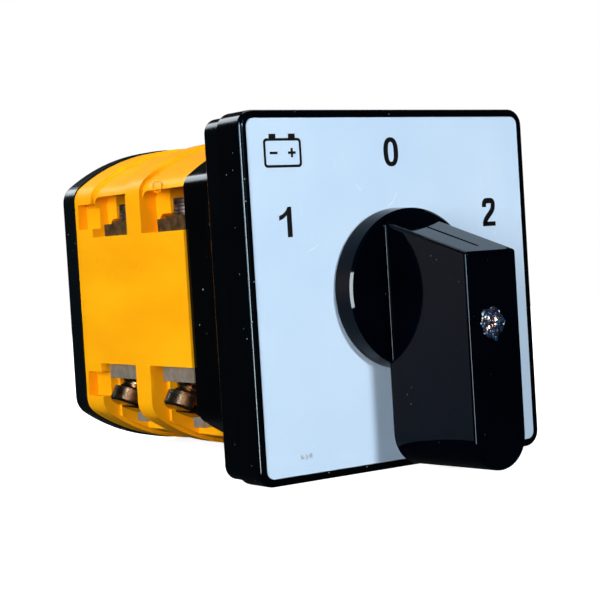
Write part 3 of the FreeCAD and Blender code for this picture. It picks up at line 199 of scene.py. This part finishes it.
def yellow_plastic():
    """Pressed yellow moulding: warm flow mottling, a fine matt grain and faint draw marks."""
    made = Nodes("stage_yellow", 0.42, specular=0.05)
    drawn = made.stretched((1.0, 0.35, 1.0))
    flow = made.between(made.cloud(11 * MM, 4.0, drawn), 0.3, 0.7)
    body = made.blend(flow, (0.93, 0.36, 0.002), (0.98, 0.45, 0.004))
    stain = made.between(made.cloud(2.2 * MM, 6.0), 0.66, 0.8)
    made.colour(made.blend(made.product(stain, 0.35), body, (0.62, 0.2, 0.004)))
    made.roughness(made.cloud(1.5 * MM, 5.0), 0.34, 0.52)
    made.bump(made.cloud(0.35 * MM, 4.0), 0.012 * MM)
    marks = made.stretched((1.0, 0.12, 1.0))
    made.bump(made.cloud(3 * MM, 2.0, marks), 0.02 * MM)
    return made.material


def label_metal():
    """Lacquered silver label: base tones tinted blue as painted reflection, cloudy tone
    variation, fine grain and stray hairline scratches.
    """
    made = Nodes("label_silver", 0.38, specular=0.45)
    # The two base tones are silver with a blue lean; the blue lean is painted reflection, and
    # the cloud only varies them at random.
    cloud = made.between(made.cloud(26 * MM, 2.0), 0.3, 0.7)
    body = made.blend(cloud, (0.53, 0.70, 0.90), (0.60, 0.765, 0.94))
    hairs = made.stretched((26.0, 1.0, 1.3), (0.0, math.radians(38), 0.0))
    strands = made.between(made.cloud(9 * MM, 2.0, hairs), 0.715, 0.75)
    patches = made.between(made.cloud(13 * MM), 0.52, 0.6)
    scratch = made.product(strands, patches)
    body = made.blend(made.product(scratch, 0.5), body, (0.80, 0.90, 1.0))
    scuff = made.between(made.cloud(1.1 * MM, 6.0), 0.69, 0.76)
    made.colour(made.blend(made.product(scuff, 0.22), body, (0.36, 0.45, 0.56)))
    made.roughness(made.cloud(1.8 * MM, 5.0), 0.32, 0.46)
    made.bump(made.cloud(0.18 * MM, 3.0), 0.003 * MM)
    made.bump(scratch, 0.004 * MM)
    return made.material


def worn_metal(name, light, dark, roughness):
    """Plated or bare metal: patchy tarnish between two tones, over fine tool marks."""
    made = Nodes(name, roughness, metallic=1.0)
    tarnish = made.between(made.cloud(1.6 * MM, 6.0), 0.36, 0.66)
    made.colour(made.blend(tarnish, light, dark))
    marks = made.cloud(0.25 * MM, 3.0, made.stretched((1.0, 5.0, 1.0)))
    made.roughness(marks, roughness * 0.7, roughness * 1.4)
    made.bump(marks, 0.01 * MM)
    return made.material


def threaded_metal(name, light, dark, roughness, pitch):
    """Screw metal: worn plating, and thread crests as rings across the upright shank."""
    made = Nodes(name, roughness, metallic=1.0)
    tarnish = made.between(made.cloud(1.2 * MM, 6.0), 0.36, 0.64)
    made.colour(made.blend(tarnish, light, dark))
    crests = {"wave_type": "BANDS", "bands_direction": "Z", "wave_profile": "TRI"}
    rings = made.new("ShaderNodeTexWave", **crests)
    rings.inputs["Scale"].default_value = math.pi / 10 / pitch  # bands lie pi / 10 / scale apart
    made.link(made.place, rings.inputs["Vector"])
    made.bump(rings.outputs["Fac"], 0.16 * MM, 0.8)
    made.roughness(made.cloud(0.5 * MM, 4.0), roughness * 0.7, roughness * 1.4)
    return made.material


def soft_rubber():
    """Matt black seal rubber with a patchy grey bloom."""
    made = Nodes("seal_rubber", 0.72, specular=0.3)
    bloom = made.between(made.cloud(2 * MM, 5.0), 0.4, 0.7)
    made.colour(made.blend(bloom, (0.012, 0.012, 0.013), (0.035, 0.036, 0.038)))
    made.roughness(made.cloud(0.8 * MM, 4.0), 0.62, 0.85)
    made.bump(made.cloud(0.3 * MM, 4.0), 0.02 * MM)
    return made.material


def pale_plastic():
    """Natural nylon of the cams, carriers and other moving mouldings."""
    made = Nodes("cam_plastic", 0.45, specular=0.4)
    cloud = made.between(made.cloud(5 * MM, 4.0), 0.35, 0.68)
    made.colour(made.blend(cloud, (0.62, 0.57, 0.46), (0.72, 0.68, 0.58)))
    made.roughness(made.cloud(1.2 * MM, 4.0), 0.38, 0.55)
    made.bump(made.cloud(0.4 * MM, 3.0), 0.01 * MM)
    return made.material


def printing_ink():
    """Black screen-printed ink, a little worn in spots."""
    made = Nodes("printing_ink", 0.45, specular=0.1)
    wear = made.between(made.cloud(0.25 * MM, 6.0), 0.66, 0.78)
    faded = made.product(wear, 0.5)
    made.colour(made.blend(faded, (0.001, 0.0012, 0.002), (0.06, 0.08, 0.11)))
    made.roughness(made.cloud(0.6 * MM, 4.0), 0.36, 0.56)
    return made.material


def worn_lacquer(name, first, second):
    """Label lacquer where something has rubbed or scratched it."""
    made = Nodes(name, 0.4, specular=0.35)
    rubbed = made.between(made.cloud(0.5 * MM, 5.0), 0.38, 0.62)
    made.colour(made.blend(rubbed, first, second))
    made.roughness(made.cloud(0.4 * MM, 4.0), 0.3, 0.6)
    return made.material


def torn_plastic_painted_glints():
    """The torn spot where the moulding gate was broken off: black crumbs painted dark blue as
    painted reflection, with blue-white painted glints on their crests.
    """
    made = Nodes("torn_plastic_painted_glints", 0.2, specular=0.8)
    crumbs = made.cells(0.62 * MM)
    # The crest mask and the pale blue-white tints paint glints on the crumb crests in place of
    # highlights.
    glint_crest = made.between(crumbs, 0.36, 0.14)
    patches = made.between(made.cloud(1.3 * MM, 3.0), 0.46, 0.52)
    # The dark blue body tones are painted reflection on the black plastic.
    blue_cast_spread = made.between(made.cloud(0.7 * MM), 0.4, 0.7)
    body = made.blend(blue_cast_spread, (0.0, 0.002, 0.008), (0.004, 0.03, 0.09))
    glint_spread = made.between(made.cloud(0.8 * MM, 2.0), 0.45, 0.6)
    painted_glint_tints = made.blend(glint_spread, (0.06, 0.30, 0.48), (0.85, 0.95, 1.0))
    made.colour(made.blend(made.product(glint_crest, patches), body, painted_glint_tints))
    made.roughness(made.cloud(0.4 * MM, 4.0), 0.1, 0.4)
    made.bump(crumbs, 0.08 * MM)
    return made.material


# Tone, roughness, dust and specular level of each moulded black.
BLACKS = {
    "bezel_black": ((0.0003, 0.0006, 0.001), 0.14, 0.6, 0.14),
    "base_black": ((0.0003, 0.0007, 0.0012), 0.18, 0.7, 0.14),
    # knob_black's blue lean is painted reflection; the near-black itself is the moulding's own
    # colour.
    "knob_black": ((0.0002, 0.0006, 0.0016), 0.06, 0.15, 0.06),
    "housing_black": ((0.0003, 0.0004, 0.0006), 0.15, 0.9, 0.14),
    "rear_black": ((0.0005, 0.0014, 0.002), 0.24, 0.6, 0.2),
}
# Bright tone, tarnished tone and roughness of each metal.
METALS = {
    "zinc_steel": ((0.20, 0.18, 0.13), (0.06, 0.04, 0.02), 0.2),
    "tinned_brass": ((0.62, 0.76, 0.74), (0.46, 0.56, 0.52), 0.4),
    # dark_brass is brass darkened as painted shade: its low tones stand in for the shadow over
    # the upper terminal bars.
    "dark_brass": ((0.30, 0.25, 0.12), (0.13, 0.10, 0.05), 0.38),
    "copper_bridge": ((0.80, 0.42, 0.28), (0.45, 0.22, 0.14), 0.32),
    "silver_tip": ((0.82, 0.81, 0.78), (0.48, 0.46, 0.42), 0.28),
    "spring_steel": ((0.50, 0.50, 0.50), (0.30, 0.29, 0.28), 0.3),
}
M4_PITCH = 0.7 * MM

# One material for each slot of the record.
MATERIALS = {
    **{name: black_plastic(name, *look) for name, look in BLACKS.items()},
    **{name: worn_metal(name, *look) for name, look in METALS.items()},
    "dark_steel": threaded_metal(
        "dark_steel", (0.16, 0.16, 0.17), (0.07, 0.065, 0.06), 0.34, M4_PITCH
    ),
    "stage_yellow": yellow_plastic(),
    "label_silver": label_metal(),
    "cam_plastic": pale_plastic(),
    "seal_rubber": soft_rubber(),
}
INK = printing_ink()
HAIR = worn_lacquer("hair_scratch", (0.70, 0.82, 0.95), (0.80, 0.90, 1.0))
RUBBED = worn_lacquer("rubbed_lacquer", (0.33, 0.40, 0.45), (0.55, 0.68, 0.82))
# The gate scar's material, with painted glints and painted blue reflection.
TORN_PAINTED_GLINTS = torn_plastic_painted_glints()


def dress_nodes():
    """Gives each CAD node the material of the record's slot it was packed with."""
    slots = {part["node"]: part["material_slot"] for part in frame["record"]["subparts"]}
    for name, node in frame["nodes"].items():
        node.data.materials.clear()
        node.data.materials.append(MATERIALS[slots[name]])


# ---------------------------------------------------------------- flat printed shapes

def smooth_path(corners, steps=6):
    """A quadratic B-spline through the middles of the runs between corners, ends kept."""
    corners = [Vector(corner) for corner in corners]
    path = [corners[0]]
    for before, here, after in zip(corners, corners[1:], corners[2:]):
        start = path[0] if here is corners[1] else (before + here) / 2
        end = after if after is corners[-1] else (here + after) / 2
        for step in range(1, steps + 1):
            t = step / steps
            path.append(start.lerp(here, t).lerp(here.lerp(end, t), t))
    return path


def ribbon(path, width):
    """The outline of a band of that width along path, as (left side, right side)."""
    left, right = [], []
    for index, point in enumerate(path):
        ahead = path[min(index + 1, len(path) - 1)]
        behind = path[max(index - 1, 0)]
        along = (ahead - behind).normalized()
        across = Vector((-along.y, along.x)) * width / 2
        left.append(point + across)
        right.append(point - across)
    return left, right


def oval(half_width, half_height, steps=40, power=2.4):
    """A slightly squared ellipse."""
    points = []
    for step in range(steps):
        angle = 2 * math.pi * step / steps
        x, z = math.cos(angle), math.sin(angle)
        points.append(Vector((
            half_width * math.copysign(abs(x) ** (2 / power), x),
            half_height * math.copysign(abs(z) ** (2 / power), z),
        )))
    return points


def rounded_box(half_width, half_height, radius, steps=5):
    """A rectangle with round corners."""
    points = []
    for quarter in range(4):
        turn = quarter * math.pi / 2
        right = 1 if quarter in (0, 3) else -1
        top = 1 if quarter in (0, 1) else -1
        for step in range(steps + 1):
            angle = turn + step / steps * math.pi / 2
            points.append(Vector((
                right * (half_width - radius) + radius * math.cos(angle),
                top * (half_height - radius) + radius * math.sin(angle),
            )))
    return points


def mesh_object(name, shape, material):
    """An object made of the finished bmesh, in one material."""
    mesh = bpy.data.meshes.new(name)
    shape.to_mesh(mesh)
    shape.free()
    mesh.materials.append(material)
    made = bpy.data.objects.new(name, mesh)
    bpy.context.scene.collection.objects.link(made)
    return made


INK_THICKNESS = 0.02 * MM
SCRATCH_THICKNESS = 0.01 * MM
WELD_DISTANCE = 0.001 * MM


def printed(name, faces, centre, front, material, thickness=INK_THICKNESS):
    """Flat polygons in millimetres about centre, printed on the plane y = front."""
    shape = bmesh.new()
    for polygon in faces:
        corners = [
            shape.verts.new((centre[0] + point[0] * MM, front, centre[1] + point[1] * MM))
            for point in polygon
        ]
        shape.faces.new(corners)
    bmesh.ops.remove_doubles(shape, verts=shape.verts, dist=WELD_DISTANCE)
    bmesh.ops.recalc_face_normals(shape, faces=shape.faces)
    solid = bmesh.ops.extrude_face_region(shape, geom=shape.faces[:])
    raised = [item for item in solid["geom"] if isinstance(item, bmesh.types.BMVert)]
    bmesh.ops.translate(shape, verts=raised, vec=(0, -thickness, 0))
    bmesh.ops.recalc_face_normals(shape, faces=shape.faces)
    made = mesh_object(name, shape, material)
    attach(made, "switch_body")


def strip_faces(left, right, closed=False):
    """Quads between two rows of points, joined into a loop when closed."""
    count = len(left) if closed else len(left) - 1
    faces = []
    for index in range(count):
        after = (index + 1) % len(left)
        faces.append([left[index], left[after], right[after], right[index]])
    return faces


def bar(x0, z0, x1, z1):
    """An upright rectangle between two opposite corners."""
    return [(x0, z0), (x1, z0), (x1, z1), (x0, z1)]


# Outlines of the dial's digits, in millimetres about each digit's centre.
DIGIT_TOP = 2.6
STROKE = 1.02
THIN_STROKE = 0.82
ZERO_HALF_WIDTH = 1.66
ONE_STEM = [(0.24, -DIGIT_TOP), (1.25, -DIGIT_TOP), (1.25, DIGIT_TOP)]
ONE_FLAG = [
    (0.5, 2.6), (0.12, 1.95), (-0.5, 1.42), (-1.35, 1.08),
    (-1.35, 0.28), (-0.42, 0.62), (0.24, 1.15),
]
TWO_SPINE = [
    (-1.08, 0.95), (-1.1, 2.1), (0.0, 2.16), (1.12, 2.1), (1.1, 0.75),
    (0.6, 0.0), (-0.55, -1.05), (-1.0, -1.75), (-1.05, -2.2),
]
TWO_FOOT = (-1.56, -DIGIT_TOP, 1.56, -1.78)


def digit_zero():
    """A squared oval ring, thinner at its top and foot."""
    outside = oval(ZERO_HALF_WIDTH, DIGIT_TOP)
    inside = oval(ZERO_HALF_WIDTH - STROKE, DIGIT_TOP - THIN_STROKE, power=2.6)
    return strip_faces(outside, inside, closed=True)


def digit_two():
    """A curved stroke that ends on a flat foot."""
    left, right = ribbon(smooth_path(TWO_SPINE), STROKE)
    return strip_faces(left, right) + [bar(*TWO_FOOT)]


def battery_sign():
    """A plain battery outline with its two posts and its plus and minus signs."""
    case = strip_faces(rounded_box(3.9, 2.5, 0.7), rounded_box(3.45, 2.05, 0.35), closed=True)
    posts = [bar(-2.7, 2.5, -1.3, 3.25), bar(1.3, 2.5, 2.7, 3.25)]
    minus = [bar(-2.65, -0.22, -1.05, 0.22)]
    plus = [bar(1.1, -0.22, 2.7, 0.22), bar(1.68, 0.22, 2.12, 0.8), bar(1.68, -0.8, 2.12, -0.22)]
    return case + posts + minus + plus


def print_label():
    """The dial's digits and the battery sign, in ink on the label."""
    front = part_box("label_plate")[0].y
    printed("digit_1", [ONE_STEM + ONE_FLAG], (-23.6 * MM, 12.8 * MM), front, INK)
    printed("digit_0", digit_zero(), (0.0, 24.4 * MM), front, INK)
    printed("digit_2", digit_two(), (22.4 * MM, 12.8 * MM), front, INK)
    printed("battery_sign", battery_sign(), (-23.4 * MM, 24.6 * MM), front, INK)


# Routes of the hairline scratches on the label, in millimetres about the shaft.
HAIR_WIDTH = 0.13
HAIRS = {
    "hair_long": [(0.8, 17.1), (0.3, 16.2), (-0.5, 15.2), (-1.5, 14.7)],
    "hair_short": [(-8.3, 19.0), (-7.9, 18.4), (-7.2, 17.8)],
    "hair_left": [(-19.4, 7.6), (-18.4, 7.9), (-17.3, 8.6)],
}


def scratch_label():
    """Two scratches above the knob, one left of it, and a rubbed patch low on the left."""
    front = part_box("label_plate")[0].y
    for name, route in HAIRS.items():
        faces = strip_faces(*ribbon(smooth_path(route), HAIR_WIDTH))
        printed(name, faces, (0, 0), front, HAIR, SCRATCH_THICKNESS)
    rubs = [bar(-1.2, -0.4, -0.5, 0.35), bar(-0.3, -0.5, 0.3, 0.4), bar(0.5, -0.45, 1.2, 0.5)]
    place = (-22.3 * MM, -27.5 * MM)
    printed("rubbed_patch", rubs, place, front, RUBBED, SCRATCH_THICKNESS)


# ---------------------------------------------------------------- small moulded details

# Half sizes and peak of the torn gate mark, in millimetres.
SCAR_HALF_WIDTH = 2.5
SCAR_HALF_HEIGHT = 2.6
SCAR_PEAK = 0.25
SCAR_RINGS = 9
SCAR_SPOKES = 28


def scar_point(ring, spoke):
    """One point of the mark's crumbled surface, in millimetres from its centre."""
    share = ring / SCAR_RINGS
    angle = 2 * math.pi * spoke / SCAR_SPOKES
    ragged = 1 + 0.34 * noise.noise(Vector((math.cos(angle), math.sin(angle), 3.0)) * 2.3)
    x = SCAR_HALF_WIDTH * share * ragged * math.cos(angle)
    z = SCAR_HALF_HEIGHT * share * ragged * math.sin(angle)
    rise = 0.24 + 0.5 * noise.noise(Vector((x * 1.9, z * 1.9, 7.0)))
    height = max(rise * (1 - share ** 3), 0.0) + 0.01
    return Vector((x, -height, z))


def gate_scar():
    """The rough spot on the grip's front where the moulding gate was broken off."""
    centre = Vector((-0.5 * MM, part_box("knob")[0].y, -6.1 * MM))
    shape = bmesh.new()
    rows = [
        [shape.verts.new(centre + scar_point(ring, spoke) * MM) for spoke in range(SCAR_SPOKES)]
        for ring in range(1, SCAR_RINGS + 1)
    ]
    middle = shape.verts.new(centre + Vector((0, -SCAR_PEAK * MM, 0)))
    for spoke in range(SCAR_SPOKES):
        after = (spoke + 1) % SCAR_SPOKES
        shape.faces.new((middle, rows[0][spoke], rows[0][after]))
        for inner, outer in zip(rows, rows[1:]):
            shape.faces.new((inner[spoke], outer[spoke], outer[after], inner[after]))
    bmesh.ops.recalc_face_normals(shape, faces=shape.faces)
    scar = mesh_object("gate_scar", shape, TORN_PAINTED_GLINTS)
    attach(scar, "rotor")


def ring_shape(centre, axis, radii, wire, around=40, section=10):
    """A ring of round wire, oval or round, about axis."""
    shape = bmesh.new()
    turn = Vector((0, 0, 1)).rotation_difference(axis).to_matrix()
    rows = []
    for step in range(around):
        angle = 2 * math.pi * step / around
        row = []
        for corner in range(section):
            lean = 2 * math.pi * corner / section
            reach = wire * math.cos(lean)
            x = (radii[0] + reach) * math.cos(angle)
            y = (radii[1] + reach) * math.sin(angle)
            point = Vector((x, y, wire * math.sin(lean)))
            row.append(shape.verts.new(centre + turn @ point))
        rows.append(row)
    for step in range(around):
        here, after = rows[step], rows[(step + 1) % around]
        for corner in range(section):
            beside = (corner + 1) % section
            shape.faces.new((here[corner], after[corner], after[beside], here[beside]))
    bmesh.ops.recalc_face_normals(shape, faces=shape.faces)
    for face in shape.faces:
        face.smooth = True
    return shape


def moulded_ring():
    """The round ejector mark that stands proud above the front stage's left upper window."""
    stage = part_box("stage_body_front")
    centre = Vector((stage[0].x + 0.8 * MM, stage[0].y + 10.2 * MM, 21.75 * MM))
    outwards = Vector((-1, 0, 0))
    shape = ring_shape(centre, outwards, (1.1 * MM, 1.7 * MM), 0.14 * MM)
    made = mesh_object("ejector_mark", shape, MATERIALS["stage_yellow"])
    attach(made, "switch_body")


# ---------------------------------------------------------------- studio

FLOOR_RADIUS = 0.6
FLOOR_GLOW = 0.85


def studio_surface():
    """Pale studio paper, lit from inside a little so that it meets the bright surround."""
    made = Nodes("studio_pale", 0.75, specular=0.1)
    made.colour(made.blend(made.cloud(0.35, 2.0), (0.90, 0.905, 0.91), (0.93, 0.935, 0.94)))
    made.shader.inputs["Emission Color"].default_value = WHITE
    made.shader.inputs["Emission Strength"].default_value = FLOOR_GLOW
    made.bump(made.cloud(0.02, 3.0), 0.02 * MM)
    return made.material


def floor():
    """A round pale floor under the front plate, unseen by the part's own reflections."""
    shape = bmesh.new()
    bmesh.ops.create_circle(shape, cap_ends=True, segments=96, radius=FLOOR_RADIUS)
    made = mesh_object("floor", shape, studio_surface())
    made.location.z = CAD_BOX[0][2] - 0.02 * MM
    made.visible_glossy = False
    made.visible_diffuse = False


COOL = (0.95, 0.98, 1.0)
WARM = (1, 0.54, 0.38)
# Place, aim, width, height, watts and colour of each soft box, in metres.
SOFTBOXES = {
    "key_box": ((0.06, -1.0, 0.2), ORIGIN, 0.07, 0.07, 7.0, COOL),
    "side_box": ((-0.75, -0.25, 0.2), (0, 0.03, 0), 0.16, 0.5, 8.0, COOL),
    "edge_strip": ((-0.76, -0.55, 0.02), ORIGIN, 0.14, 0.6, 80.0, WARM),
    "top_box": ((0.15, 0.25, 0.72), (0, 0.02, 0), 0.5, 0.5, 2.8, COOL),
    "pointer_box": ((0.68, 0.83, 0.54), ORIGIN, 0.45, 0.35, 1.0, COOL),
    "rear_box": ((-0.2, 1.0, 0.6), (0, 0.05, 0), 0.4, 0.4, 4.0, COOL),
}


def softbox(name, place, aim, width, height, power, colour):
    """A rectangular area light at place, turned to aim."""
    lamp = bpy.data.lights.new(name, "AREA")
    lamp.shape = "RECTANGLE"
    lamp.size = width
    lamp.size_y = height
    lamp.energy = power
    lamp.color = colour
    made = bpy.data.objects.new(name, lamp)
    made.location = place
    made.rotation_euler = (Vector(aim) - Vector(place)).to_track_quat("-Z", "Y").to_euler()
    bpy.context.scene.collection.objects.link(made)
    return made


def lights():
    """Soft boxes all round; the strip only draws highlights along the glossy edges."""
    made = {name: softbox(name, *look) for name, look in SOFTBOXES.items()}
    made["edge_strip"].visible_diffuse = False


SURROUND_CAST = (0.86, 0.93, 1.0, 1.0)
CAST_STRENGTH = 0.035


def background(tree, colour, strength):
    node = tree.nodes.new("ShaderNodeBackground")
    node.inputs["Color"].default_value = colour
    node.inputs["Strength"].default_value = strength
    return node.outputs["Background"]


def world():
    """An even white surround for the camera, which lights the part only faintly."""
    surround = bpy.data.worlds.new("surround")
    bpy.context.scene.world = surround
    surround.use_nodes = True
    tree = surround.node_tree
    tree.nodes.clear()
    seen = background(tree, WHITE, 1.0)
    cast = background(tree, SURROUND_CAST, CAST_STRENGTH)
    path = tree.nodes.new("ShaderNodeLightPath")
    mix = tree.nodes.new("ShaderNodeMixShader")
    out = tree.nodes.new("ShaderNodeOutputWorld")
    tree.links.new(path.outputs["Is Camera Ray"], mix.inputs["Fac"])
    tree.links.new(cast, mix.inputs[1])
    tree.links.new(seen, mix.inputs[2])
    tree.links.new(mix.outputs["Shader"], out.inputs["Surface"])


# Where the camera stands, in millimetres, and the directions of its right and its back.
CAMERA_PLACE = (-176.9, -235.4, 8.3)
CAMERA_RIGHT = (0.8182, -0.5717, -0.0613)
CAMERA_BACK = (-0.5708, -0.8204, 0.0328)
LENS_LENGTH = 95.28
SENSOR_WIDTH = 36.0


def camera():
    """Long lens in front of the plate and to its left, rolled slightly to the left."""
    lens = bpy.data.cameras.new("camera")
    lens.lens = LENS_LENGTH
    lens.sensor_width = SENSOR_WIDTH
    lens.clip_start = 0.01
    lens.clip_end = 20.0
    made = bpy.data.objects.new("camera", lens)
    bpy.context.scene.collection.objects.link(made)
    back = Vector(CAMERA_BACK).normalized()
    up = back.cross(Vector(CAMERA_RIGHT)).normalized()
    right = up.cross(back)
    turn = Matrix((right, up, back)).transposed().to_4x4()
    made.matrix_world = Matrix.Translation(Vector(CAMERA_PLACE) * MM) @ turn
    bpy.context.scene.camera = made


# ---------------------------------------------------------------- assembly

dress_nodes()
print_label()
scratch_label()
gate_scar()
moulded_ring()
floor()
lights()
world()
camera()
bpy.context.scene.view_settings.view_transform = "Standard"
